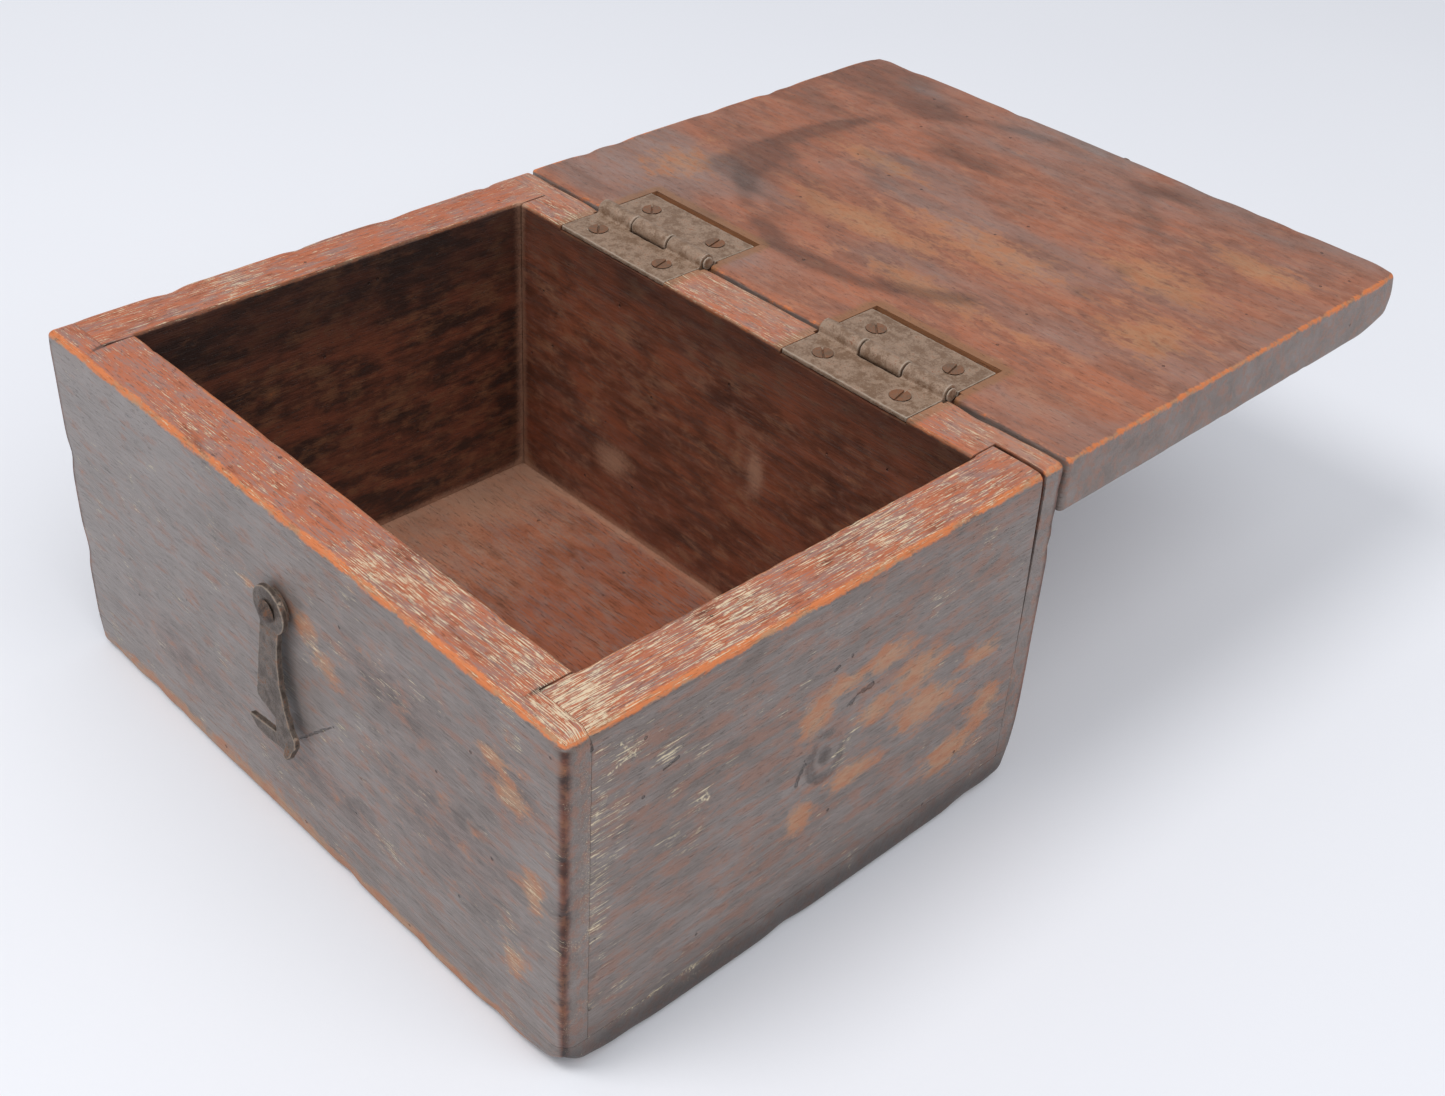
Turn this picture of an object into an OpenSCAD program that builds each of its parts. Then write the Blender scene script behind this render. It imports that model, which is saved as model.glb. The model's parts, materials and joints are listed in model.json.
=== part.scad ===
// Small hand-made hardwood tea caddy: four rabbeted walls on a nailed bottom board,
// a flat lid on two iron butt hinges, and an iron swing hook that catches a nail in the lid.
// The lid is drawn open on its stop and the hook hangs down.
// Origin: centre of the underside. +X to the right seen from the front, -Y is the front, +Z up.

/* [Box] */
// Outer width of the box, and of the lid
box_w = 160; // [150:1:180]
// Outer depth of the box, and of the lid
box_d = 122; // [115:1:140]
// Height of the body up to its rim
box_h = 79; // [76:1:100]
// Thickness of the four walls
wall = 12.7; // [12:0.1:14]
// Thickness of the bottom board
bottom_t = 8; // [6:0.5:10]
// Thickness left on the front and back boards where they lap the side boards
lap = 5.6; // [4:0.1:7]
// Rounding of the bottom board's lower edges
foot_r = 3.5; // [2:0.5:5]
// Rounding of the four upright corners
corner_r = 1.2; // [0.5:0.1:2]

/* [Lid] */
// Thickness of the lid
lid_t = 12.8; // [12:0.1:14]
// Rounding of the lid's top front edge
lid_front_r = 5; // [3:0.5:6]
// Rounding of the lid's other top edges
lid_edge_r = 1.5; // [0.5:0.1:2]
// Gap between the back board and the open lid
lid_gap = 0.6; // [0.4:0.1:1]

/* [Hinges] */
// Place of the left hinge's middle along the back
left_hinge_x = -36; // [-40:0.5:-30]
// Place of the right hinge's middle along the back
right_hinge_x = 33.5; // [30:0.5:40]
// Length of each hinge
hinge_len = 34; // [32:0.5:38]
// Thickness of the hinge leaves
leaf_t = 1.3; // [1:0.1:1.5]
// Reach of the lid leaf from the pin
lid_leaf_w = 14.4; // [12:0.1:16]
// Radius of the hinge barrel
barrel_r = 2.2; // [2:0.1:2.5]
// Radius of the hinge pin
hinge_pin_r = 1; // [0.8:0.1:1.1]
// Height of the pin's axis above the rim
pin_rise = 0.4; // [0.3:0.1:0.6]

/* [Hook] */
// Height of the hook's pivot above the table
pivot_z = 57.8; // [57:0.1:59]
// Thickness of the hook's plate
hook_t = 1.4; // [1.2:0.1:1.6]
// Radius of the hook's round eye
eye_r = 5; // [4.8:0.1:5.4]
// Outward lean of the hook's arm, in degrees
hook_lean = 2.5; // [1:0.5:4]
// Thickness of the washer behind the hook
washer_t = 0.8; // [0.5:0.1:1]
// Radius of the pivot nail's and the keeper nail's shanks
nail_r = 1.2; // [1:0.1:1.25]

/* [Hidden] */
$fn = 48;
EPS = 0.01;
CUT = 1;

// Planes of the box
front_y = -box_d / 2;
back_y = box_d / 2;
right_x = box_w / 2;
inner_x = right_x - wall;
inner_y = back_y - wall;
lap_y = back_y - lap;
wall_h = box_h - bottom_t;

// Planes of the open lid, whose inner face looks up
lid_back_y = back_y + lid_gap;
lid_front_y = lid_back_y + box_d;
lid_outer_z = box_h - lid_t;

// Hinges
HINGES = [left_hinge_x, right_hinge_x];
pin_y = back_y + lid_gap / 2;
pin_z = box_h + pin_rise;
knuckle_gap = 0.3;
knuckle_len = (hinge_len - 2 * knuckle_gap) / 3;
swing_clear = 0.35;
bore_clear = 0.06;
mortise_clear = 0.15;
mortise_spare = 1.7;
body_leaf_w = pin_y - inner_y - 0.2;
pin_head_r = 1.5;
pin_head_t = 0.4;

// Hinge screws
SCREW_X = [-10.5, 10.5];
screw_r = 1.1;
screw_head_r = 2.2;
screw_head_t = 1.1;
screw_len = 9;
screw_clear = 0.05;
slot_w = 0.5;
slot_depth = 0.4;
body_screw_y = inner_y + 5.6;
lid_screw_y = pin_y + 8.6;

// Hook, in its own plane: x to the right, y up, pivot at the origin
keeper_reach = 26.7;
keeper_x = 1.2;
pivot_clear = 0.05;
side_clear = 0.1;
washer_r = 3.8;
nail_head_r = 2.6;
nail_head_h = 1.6;
nail_depth = 10.5;
hook_back = washer_t + side_clear;
hook_front = hook_back + hook_t;
keeper_z = 2 * pin_z - (pivot_z + keeper_reach);
keeper_out = hook_front + keeper_reach * tan(hook_lean) + 0.35;
ARM = [[2.5, 0], [2.5, -5.5], [2.0, -10.6], [2.3, -16], [3.5, -21], [5, -25], [6.5, -26.6],
    [6.5, -28.6], [5.6, -30.2], [3, -31.4], [-2.6, -32], [-6.6, -31.8], [-9.3, -29.5],
    [0.2, -28.3], [0.2, -25.1], [-4, -23.8], [-5.6, -23], [-5.8, -22], [-4.7, -14],
    [-3.4, -5.5], [-3.4, 0]];
TAB = [[3, 0.4], [5.9, 0.4], [5.8, -2], [5, -2.9], [3.8, -2.5]];
tab_drop = 29.6;
tab_lean = 32;

// Nails that hold the bottom board
BOTTOM_NAILS = concat(
    [for (x = [-60, 0, 60], y = [-1, 1]) [x, y * (back_y - wall / 2)]],
    [for (x = [-1, 1], y = [-24, 24]) [x * (right_x - wall / 2), y]]);
brad_r = 0.9;
brad_len = 22;
brad_head_r = 2;
brad_head_t = 0.7;
brad_sunk = 0.2;
brad_clear = 0.05;

// Corner piece to cut away, to leave a rounding of radius r
module corner_cut(r) {
    difference() {
        translate([-CUT, -CUT]) square(r + CUT);
        translate([r, r]) circle(r);
    }
}

// A bar along X with its middle at x
module bar_x(x, length) {
    translate([x - length / 2, 0, 0]) rotate([90, 0, 90]) linear_extrude(length) children();
}

// Rod along X about the hinge axis
module barrel_rod(x, length, r) {
    translate([x, pin_y, pin_z]) rotate([0, 90, 0]) cylinder(h = length, r = r, center = true);
}

// Upright bar that rounds the outer corner at signs sx, sy
module upright_round(sx, sy, z, h) {
    translate([sx * right_x, sy * back_y, z - CUT]) mirror([sx > 0 ? 1 : 0, 0, 0])
        mirror([0, sy > 0 ? 1 : 0, 0]) linear_extrude(h + 2 * CUT) corner_cut(corner_r);
}

// Holes for the bottom nails
module brad_holes() {
    for (p = BOTTOM_NAILS)
        translate([p[0], p[1], -CUT])
            cylinder(h = brad_len + brad_sunk + CUT + brad_clear, r = brad_r + brad_clear);
}

// Front board as it stands: full width at the outside, rabbeted behind both ends
module end_board_blank() {
    difference() {
        translate([-right_x, front_y, bottom_t]) cube([box_w, wall, wall_h]);
        for (s = [-1, 1])
            translate([s * (inner_x + (wall + CUT) / 2), front_y + lap + wall / 2,
                bottom_t + wall_h / 2])
                cube([wall + CUT, wall, wall_h + 2 * CUT], center = true);
        for (s = [-1, 1]) upright_round(s, -1, bottom_t, wall_h);
    }
}

module front_board() {
    color("#4d3a33") difference() {
        end_board_blank();
        translate([0, front_y - CUT, pivot_z]) rotate([-90, 0, 0])
            cylinder(h = nail_depth + CUT, r = nail_r + brad_clear);
        brad_holes();
    }
}

module back_board() {
    color("#4a3730") difference() {
        mirror([0, 1, 0]) end_board_blank();
        for (x = HINGES) {
            barrel_rod(x, hinge_len + 2 * (pin_head_t + swing_clear), barrel_r + swing_clear);
            translate([x - hinge_len / 2 - mortise_clear, inner_y - CUT, box_h - leaf_t])
                cube([hinge_len + 2 * mortise_clear, wall + 2 * CUT, leaf_t + CUT]);
            hinge_screw_holes(x, body_screw_y);
        }
        brad_holes();
    }
}

module side_board(s) {
    color("#503b33") difference() {
        translate([s > 0 ? inner_x : -right_x, -lap_y, bottom_t]) cube([wall, 2 * lap_y, wall_h]);
        brad_holes();
    }
}

module bottom_board() {
    color("#5a4036") difference() {
        translate([-right_x, front_y, 0]) cube([box_w, box_d, bottom_t]);
        for (a = [0, 180]) rotate([0, 0, a]) translate([0, front_y, 0])
            bar_x(0, box_w + 2 * CUT) corner_cut(foot_r);
        for (a = [90, 270]) rotate([0, 0, a]) translate([0, -right_x, 0])
            bar_x(0, box_d + 2 * CUT) corner_cut(foot_r);
        for (sx = [-1, 1], sy = [-1, 1]) upright_round(sx, sy, 0, bottom_t);
        brad_holes();
        for (p = BOTTOM_NAILS) translate([p[0], p[1], -CUT])
            cylinder(h = CUT + brad_sunk + brad_head_t, r = brad_head_r + brad_clear);
    }
}

// Open lid: inner face up at rim height, outer face down, front edge at the far end
module lid_board() {
    color("#7a4a30") difference() {
        translate([-right_x, lid_back_y, lid_outer_z]) cube([box_w, box_d, lid_t]);
        translate([0, lid_front_y, lid_outer_z]) mirror([0, 1, 0])
            bar_x(0, box_w + 2 * CUT) corner_cut(lid_front_r);
        translate([0, lid_back_y, lid_outer_z])
            bar_x(0, box_w + 2 * CUT) corner_cut(lid_edge_r);
        for (s = [0, 1]) mirror([s, 0, 0])
            translate([-right_x, lid_back_y - CUT, lid_outer_z]) mirror([0, 1, 0])
                rotate([90, 0, 0]) linear_extrude(box_d + 2 * CUT) corner_cut(lid_edge_r);
        for (x = HINGES) {
            barrel_rod(x, hinge_len + 2 * (pin_head_t + swing_clear), barrel_r + swing_clear);
            translate([x - hinge_len / 2 - mortise_clear, back_y, box_h - leaf_t])
                cube([hinge_len + 2 * mortise_clear,
                    lid_leaf_w + lid_gap / 2 + mortise_spare, leaf_t + CUT]);
            hinge_screw_holes(x, lid_screw_y);
        }
        translate([keeper_x, lid_front_y + CUT, keeper_z]) rotate([90, 0, 0])
            cylinder(h = nail_depth + CUT, r = nail_r + brad_clear);
    }
}

// Pilot holes in the wood under a leaf, and the wells of its screws
module hinge_screw_holes(x, y) {
    for (dx = SCREW_X) translate([x + dx, y, box_h - screw_len - screw_clear])
        cylinder(h = screw_len + CUT, r = screw_r + screw_clear);
}

// A countersunk wood screw, head up at rim height
module hinge_screw(grow) {
    translate([0, 0, -screw_head_t])
        cylinder(h = screw_head_t, r1 = screw_r + grow, r2 = screw_head_r + grow);
    translate([0, 0, -screw_len]) cylinder(h = screw_len, r = screw_r + grow);
}

// One leaf: reach is signed, towards -Y on the body and +Y on the lid.
// keep and clear list the knuckles that it carries and those that it makes room for.
module hinge_leaf(x, reach, screw_y, keep, clear) {
    pitch = knuckle_len + knuckle_gap;
    difference() {
        union() {
            translate([x - hinge_len / 2, min(pin_y, pin_y + reach), box_h - leaf_t])
                cube([hinge_len, abs(reach), leaf_t]);
            for (k = keep) barrel_rod(x + k * pitch, knuckle_len, barrel_r);
        }
        for (k = clear)
            barrel_rod(x + k * pitch, knuckle_len + 2 * knuckle_gap, barrel_r + swing_clear);
        barrel_rod(x, hinge_len + 2 * CUT, hinge_pin_r + bore_clear);
        for (dx = SCREW_X) translate([x + dx, screw_y, box_h]) {
            hinge_screw(screw_clear);
            translate([0, 0, -EPS]) cylinder(h = CUT, r = screw_head_r + screw_clear);
        }
    }
}

module body_leaf(x) {
    color("#6b625c") hinge_leaf(x, -body_leaf_w, body_screw_y, [-1, 1], [0]);
}

module lid_leaf(x) {
    color("#6b625c") hinge_leaf(x, lid_leaf_w, lid_screw_y, [0], [-1, 1]);
}

// Pin with both ends peened over
module hinge_pin(x) {
    color("#5c534d") {
        barrel_rod(x, hinge_len + 2 * EPS, hinge_pin_r);
        for (s = [-1, 1])
            barrel_rod(x + s * (hinge_len + pin_head_t) / 2, pin_head_t, pin_head_r);
    }
}

// Slotted wood screws of one leaf
module hinge_screws(x, y) {
    color("#5c534d") for (dx = SCREW_X) translate([x + dx, y, box_h]) difference() {
        hinge_screw(0);
        rotate([0, 0, 30 + 7 * dx]) cube([2 * screw_head_r + CUT, slot_w, 2 * slot_depth],
            center = true);
    }
}

// Nail along Y: out is how far the underside of its domed head stands off the wood
module domed_nail(out) {
    rotate([90, 0, 0]) {
        translate([0, 0, -nail_depth]) cylinder(h = nail_depth + out + nail_head_h / 2, r = nail_r);
        translate([0, 0, out]) rotate_extrude() intersection() {
            translate([0, nail_head_h - head_dome_r()]) circle(head_dome_r());
            square([nail_head_r, nail_head_h]);
        }
    }
}

// Radius of the dome that is nail_head_h high over a base of nail_head_r
function head_dome_r() = (nail_head_r * nail_head_r + nail_head_h * nail_head_h)
    / (2 * nail_head_h);

module latch_washer() {
    color("#5a5048") translate([0, front_y, pivot_z]) rotate([90, 0, 0]) difference() {
        cylinder(h = washer_t, r = washer_r);
        translate([0, 0, -CUT]) cylinder(h = washer_t + 2 * CUT, r = nail_r + pivot_clear);
    }
}

module latch_pivot_nail() {
    color("#3f342f") translate([0, front_y, pivot_z]) domed_nail(hook_front + side_clear);
}

module keeper_nail() {
    color("#3f342f") translate([keeper_x, lid_front_y, keeper_z]) rotate([0, 0, 180])
        domed_nail(keeper_out);
}

// Flat hook: round eye, arm leaning outward, side notch, and a finger tab turned out
module latch_hook() {
    color("#77716d") translate([0, front_y, pivot_z]) rotate([90, 0, 0]) difference() {
        union() {
            translate([0, 0, hook_back]) cylinder(h = hook_t, r = eye_r);
            translate([0, 0, hook_back]) rotate([-hook_lean, 0, 0]) {
                linear_extrude(hook_t) polygon(ARM);
                translate([0, -tab_drop, 0]) rotate([-tab_lean, 0, 0])
                    linear_extrude(hook_t) polygon(TAB);
            }
        }
        cylinder(h = hook_front + CUT, r = nail_r + pivot_clear);
        translate([-eye_r, -eye_r, hook_front]) cube([2 * eye_r, 2 * eye_r, CUT]);
    }
}

module bottom_nails() {
    color("#3f342f") for (p = BOTTOM_NAILS) translate([p[0], p[1], brad_sunk]) {
        cylinder(h = brad_len, r = brad_r);
        cylinder(h = brad_head_t - brad_clear, r = brad_head_r);
    }
}

front_board();
back_board();
side_board(-1);  // left_side_board
side_board(1);  // right_side_board
bottom_board();
lid_board();
body_leaf(left_hinge_x);  // left_hinge_body_leaf
lid_leaf(left_hinge_x);  // left_hinge_lid_leaf
hinge_pin(left_hinge_x);  // left_hinge_pin
hinge_screws(left_hinge_x, body_screw_y);  // left_hinge_body_screws
hinge_screws(left_hinge_x, lid_screw_y);  // left_hinge_lid_screws
body_leaf(right_hinge_x);  // right_hinge_body_leaf
lid_leaf(right_hinge_x);  // right_hinge_lid_leaf
hinge_pin(right_hinge_x);  // right_hinge_pin
hinge_screws(right_hinge_x, body_screw_y);  // right_hinge_body_screws
hinge_screws(right_hinge_x, lid_screw_y);  // right_hinge_lid_screws
latch_hook();
latch_washer();
latch_pivot_nail();
keeper_nail();
bottom_nails();
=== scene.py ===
"""An old wooden caddy with its lid laid open: worn boards, rusty hinges and a hook latch."""
import json
import math

import bpy
import numpy as np
from mathutils import Matrix, Vector


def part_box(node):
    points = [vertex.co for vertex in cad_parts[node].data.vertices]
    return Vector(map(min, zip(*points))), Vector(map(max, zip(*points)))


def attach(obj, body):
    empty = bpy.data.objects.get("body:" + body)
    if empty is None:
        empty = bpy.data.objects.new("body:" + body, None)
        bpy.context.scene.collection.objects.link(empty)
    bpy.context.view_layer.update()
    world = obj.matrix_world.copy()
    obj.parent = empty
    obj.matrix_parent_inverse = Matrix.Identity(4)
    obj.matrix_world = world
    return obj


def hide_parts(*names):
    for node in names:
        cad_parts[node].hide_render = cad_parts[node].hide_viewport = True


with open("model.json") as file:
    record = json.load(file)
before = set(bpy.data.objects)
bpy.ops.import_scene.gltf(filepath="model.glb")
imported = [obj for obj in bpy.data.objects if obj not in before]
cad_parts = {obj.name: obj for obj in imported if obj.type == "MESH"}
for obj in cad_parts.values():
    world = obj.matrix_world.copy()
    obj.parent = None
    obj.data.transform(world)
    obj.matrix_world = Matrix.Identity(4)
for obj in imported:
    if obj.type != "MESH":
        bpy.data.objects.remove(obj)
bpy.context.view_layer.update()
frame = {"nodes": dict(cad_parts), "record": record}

# Every length below is in millimetres, in the frame's own axes.
MM = 1000.0


def corners(node):
    """Lowest and highest corner of a CAD node."""
    low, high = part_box(node)
    return np.array(low) * MM, np.array(high) * MM


FRONT_LOW, FRONT_HIGH = corners("front_board")
SIDE_LOW, SIDE_HIGH = corners("right_side_board")
LID_LOW, LID_HIGH = corners("lid_board")
HALF_X = FRONT_HIGH[0]
HALF_Y = -FRONT_LOW[1]
TOP = FRONT_HIGH[2]
FLOOR_TOP = corners("bottom_board")[1][2]
INNER_X = SIDE_LOW[0]
INNER_Y = -FRONT_HIGH[1]
LAP_Y = SIDE_HIGH[1]
BODY_LOW = np.array([-HALF_X, -HALF_Y, 0.0])
BODY_HIGH = np.array([HALF_X, HALF_Y, TOP])

JOINTS = {j["name"]: j for j in frame["record"]["behaviour"]["joints"]}
PIN = np.array(JOINTS["lid_hinge"]["pos_m"]) * MM
HINGE_SIDES = ("left", "right")
BODY_LEAVES = {s: corners(f"{s}_hinge_body_leaf") for s in HINGE_SIDES}
LID_LEAVES = {s: corners(f"{s}_hinge_lid_leaf") for s in HINGE_SIDES}

LEAF_T = 1.3  # thickness of a hinge leaf
MORTISE_CLEAR = 0.15  # beside a leaf
MORTISE_SPARE = 1.7  # beyond the end of a lid leaf
KNUCKLE_ROOM = 2.6  # around the hinge axis
KNUCKLE_SPARE = 0.8  # past both ends of a barrel


# ---------------------------------------------------------------- fields over space

def smooth(t):
    """Smooth step from 0 to 1."""
    t = np.clip(t, 0, 1)
    return t * t * (3 - 2 * t)


def near(gap, reach):
    """1 where gap is zero, falling smoothly to 0 at reach."""
    return smooth(1 - np.abs(gap) / reach)


def grid_random(cell, seed):
    """One repeatable random number for each grid cell."""
    n = cell[:, 0] * 73856093 ^ cell[:, 1] * 19349663 ^ cell[:, 2] * 83492791 ^ seed * 15485863
    n = (n ^ n >> 13) * 1274126177 & 0xFFFFFFFF
    n = (n ^ n >> 16) * 2246822519 & 0xFFFFFFFF
    return (n ^ n >> 15) / 0xFFFFFFFF


def noise(points, size, seed, octaves=3):
    """Smooth noise from 0 to 1 whose blobs are about size across."""
    spot = points / np.asarray(size, float) + 0.37 * seed
    total = np.zeros(len(points))
    gain = 1.0
    span = 0.0
    for octave in range(octaves):
        cell = np.floor(spot).astype(np.int64)
        part = smooth(spot - cell)
        for corner in range(8):
            step = np.array([corner & 1, corner >> 1 & 1, corner >> 2])
            weight = np.prod(np.where(step, part, 1 - part), axis=1)
            total += gain * weight * grid_random(cell + step, seed + octave)
        span += gain
        gain *= 0.5
        spot = spot * 2
    return total / span


def blots(u, v, spots):
    """Soft ellipses; a spot is its middle (u, v) and its half sizes."""
    total = np.zeros(len(u))
    for mid_u, mid_v, size_u, size_v in spots:
        reach = ((u - mid_u) / size_u) ** 2 + ((v - mid_v) / size_v) ** 2
        total = np.maximum(total, np.exp(-reach))
    return total


# ---------------------------------------------------------------- meshes

def planes(breaks, coarse, growth=0.13):
    """Grid planes through every break, a (place, spacing there) pair, wider apart between."""
    breaks = sorted(breaks)
    places = np.array([b[0] for b in breaks])
    spacings = np.array([b[1] for b in breaks])
    result = [places[:1]]
    for start, end in zip(places[:-1], places[1:]):
        if end - start < 0.01:
            continue
        t = np.linspace(start, end, 300)
        spacing = (spacings + growth * np.abs(t[:, None] - places)).min(1)
        density = 1 / np.minimum(coarse, spacing)
        steps = (density[1:] + density[:-1]) / 2 * np.diff(t)
        total = np.concatenate([[0], np.cumsum(steps)])
        count = max(1, math.ceil(total[-1]))
        result.append(np.interp(np.linspace(0, total[-1], count + 1)[1:], total, t))
    return np.concatenate(result)


def block_skin(xs, ys, zs, solid):
    """Closed quad skin of the grid cells for which solid(x, y, z) is true."""
    middles = [(a[1:] + a[:-1]) / 2 for a in (xs, ys, zs)]
    filled = solid(*np.meshgrid(*middles, indexing="ij"))
    filled = np.pad(filled, 1).astype(np.int8)
    shape = (len(xs), len(ys), len(zs))
    quads = []
    for axis in range(3):
        step = np.diff(filled, axis=axis)
        others = [(axis + 1) % 3, (axis + 2) % 3]
        for sign in (1, -1):
            start = np.argwhere(step == sign)
            start[:, others] -= 1
            ring = []
            for offset in ((0, 0), (1, 0), (1, 1), (0, 1)):
                point = start.copy()
                point[:, others] += offset
                ring.append(np.ravel_multi_index(point.T, shape))
            quads.append(np.stack(ring[::-sign], 1))
    used, faces = np.unique(np.concatenate(quads), return_inverse=True)
    i, j, k = np.unravel_index(used, shape)
    return np.stack([xs[i], ys[j], zs[k]], 1), faces.reshape(-1, 4)


def make_piece(name, points, faces, fields, crease=40):
    """A mesh object whose fields become attributes of its points."""
    mesh = bpy.data.meshes.new(name)
    mesh.from_pydata((points / MM).tolist(), [], faces.tolist())
    add_fields(mesh, fields)
    mesh.shade_smooth()
    mesh.set_sharp_from_angle(angle=math.radians(crease))
    piece = bpy.data.objects.new(name, mesh)
    bpy.context.scene.collection.objects.link(piece)
    return piece


def add_fields(mesh, fields):
    """Store each field on the mesh, one number or one vector a point."""
    for key, values in fields.items():
        vector = values.ndim == 2
        layer = mesh.attributes.new(key, "FLOAT_VECTOR" if vector else "FLOAT", "POINT")
        layer.data.foreach_set("vector" if vector else "value", values.astype(np.float32).ravel())


def place(piece, node, body, material):
    """Let piece stand for a CAD node, on its body."""
    piece.data.materials.clear()
    piece.data.materials.append(material)
    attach(piece, body)
    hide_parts(node)


# ---------------------------------------------------------------- wear of the shape

def rounded(points, low, high, radius):
    """Points of a box with its arrises worn round, by a radius that may vary."""
    low, high = np.asarray(low, float), np.asarray(high, float)
    from_middle = points - (low + high) / 2
    gap = (high - low) / 2 - np.abs(from_middle)
    pull = np.maximum(0, np.reshape(radius, (-1, 1)) - gap)
    length = np.maximum(np.linalg.norm(pull, axis=1), 1e-9)
    keep = pull.max(1) / length
    return points - np.sign(from_middle) * pull * (1 - keep)[:, None]


def rounded_rim(points, radius):
    """Points of the walls with the arris of the cavity's mouth worn round."""
    over = np.abs(points[:, :2]) - [INNER_X, INNER_Y]
    axis = over.argmax(1)
    rows = np.arange(len(points))
    gap = np.stack([over[rows, axis], TOP - points[:, 2]], 1)
    pull = np.maximum(0, radius[:, None] - gap)
    length = np.maximum(np.linalg.norm(pull, axis=1), 1e-9)
    shift = pull * (1 - pull.max(1) / length)[:, None]
    shift[over[rows, axis] < -0.01] = 0
    moved = points.copy()
    moved[rows, axis] += np.sign(points[rows, axis]) * shift[:, 0]
    moved[:, 2] -= shift[:, 1]
    return moved


def sagged(points, start, low, high, depths, seed):
    """Flat faces made slightly hollow and wavy, always inwards; the underside stays flat."""
    from_middle = start - (low + high) / 2
    gap = (high - low) / 2 - np.abs(from_middle)
    moved = points.copy()
    for axis in range(3):
        swell = 0.7 * noise(start, 42, seed + axis, 2) + 0.3 * noise(start, 11, seed + 7 + axis, 2)
        depth = depths[axis] * swell * np.clip(1 - gap[:, axis] / 9, 0, 1)
        if axis == 2:
            depth *= from_middle[:, 2] > 0
        moved[:, axis] -= np.sign(from_middle[:, axis]) * depth
    return moved


def chipped(points, start, chips):
    """Points pushed in by chips: middle, radius, depth and the way that each is pushed."""
    moved = points.copy()
    for middle, radius, depth, way in chips:
        reach = np.linalg.norm(start - middle, axis=1) / radius
        close = reach < 2.5
        push = np.asarray(way, float) / np.linalg.norm(way)
        moved[close] += depth * np.exp(-reach[close] ** 2)[:, None] * push
    return moved


def random_chips(rng, count, start, end, way, size=(0.9, 2.4), depth=(0.15, 0.6)):
    """Small chips scattered along one arris."""
    along = rng.uniform(0.02, 0.98, count)
    sizes = rng.uniform(*size, count)
    depths = rng.uniform(*depth, count)
    start, end = np.array(start, float), np.array(end, float)
    return [(start + (end - start) * a, s, d, way) for a, s, d in zip(along, sizes, depths)]


def body_chips():
    """Chips of the box: scattered along every arris, and the few large ones in their places."""
    rng = np.random.default_rng(11)
    chips = []
    broad = {"size": (1.6, 4.5), "depth": (0.1, 0.45)}
    small = {"size": (0.8, 2.2), "depth": (0.05, 0.28)}
    for s in (-1, 1):
        x, y = s * HALF_X, s * HALF_Y
        chips += random_chips(rng, 12, (-HALF_X, y, TOP), (HALF_X, y, TOP), (0, -s, -1), **broad)
        chips += random_chips(rng, 9, (x, -HALF_Y, TOP), (x, HALF_Y, TOP), (-s, 0, -1), **broad)
        chips += random_chips(rng, 7, (-HALF_X, y, 1), (HALF_X, y, 1), (0, -s, 0.6), **broad)
        chips += random_chips(rng, 5, (x, -HALF_Y, 1), (x, HALF_Y, 1), (-s, 0, 0.6), **broad)
        x, y = s * INNER_X, s * INNER_Y
        chips += random_chips(rng, 10, (-INNER_X, y, TOP), (INNER_X, y, TOP), (0, s, -1), **small)
        chips += random_chips(rng, 8, (x, -INNER_Y, TOP), (x, INNER_Y, TOP), (s, 0, -1), **small)
        for t in (-1, 1):
            x, y = s * HALF_X, t * HALF_Y
            chips += random_chips(rng, 4, (x, y, 6), (x, y, TOP), (-s, -t, 0), **broad)
    # The larger chips of the front arris and of the near upright arris
    for x, size, depth in ((-68, 3.2, 0.9), (-46, 2.2, 0.7), (-20, 2.6, 0.5), (22, 3, 0.6)):
        chips.append((np.array([x, -HALF_Y, TOP]), size, depth, (0, 1, -1)))
    for z, size, depth in ((52.5, 1.6, 1.3), (40, 1.8, 1.5), (64, 1.4, 0.6), (20, 2.0, 0.7)):
        chips.append((np.array([HALF_X, -HALF_Y, z]), size, depth, (-1, 1, 0)))
    # Slots and dents in the right side, round the knot
    for y, z, size, depth in ((8, 51, 1.6, 0.5), (0, 41, 2.4, 0.4), (-6, 40, 1.8, 0.3)):
        chips.append((np.array([HALF_X, y, z]), size, depth, (-1, 0, 0)))
    return chips


BODY_CHIPS = body_chips()
NEAR_FOOT = np.array([HALF_X, -HALF_Y, 0.0])
FAR_FOOT = np.array([HALF_X, HALF_Y, 0.0])
NEAR_TOP = np.array([HALF_X, -HALF_Y, TOP])
FOOT_H = 10.0  # height over which the arrises widen towards the feet


def body_arris(start):
    """Radius of the worn outer arrises of the box at each point."""
    wave = noise(start, 13, 3, 2)
    top = smooth(1 - (TOP - start[:, 2]) / 6)
    foot = smooth(1 - start[:, 2] / FOOT_H)
    radius = 0.6 + 0.5 * wave + top * 1.0 * noise(start, 8, 4, 2)
    radius += foot * (1.1 + 0.8 * noise(start, 18, 5, 2))
    for corner, extra in ((NEAR_FOOT, 4.2), (FAR_FOOT, 3.0), (NEAR_TOP, 1.6)):
        reach = np.linalg.norm(start - corner, axis=1) / 11
        radius += extra * np.exp(-reach ** 2)
    return radius


def worn_body(points, start):
    """The wear that all boards of the box share, so that it runs on across their seams."""
    points = rounded(points, BODY_LOW, BODY_HIGH, body_arris(start))
    points = rounded_rim(points, 0.4 + 0.6 * noise(start, 9, 6, 2))
    points = sagged(points, start, BODY_LOW, BODY_HIGH, (0.35, 0.35, 0.3), 30)
    return chipped(points, start, BODY_CHIPS)


SEAM_R = 0.14  # softened arris along a seam


# ---------------------------------------------------------------- boards

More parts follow.
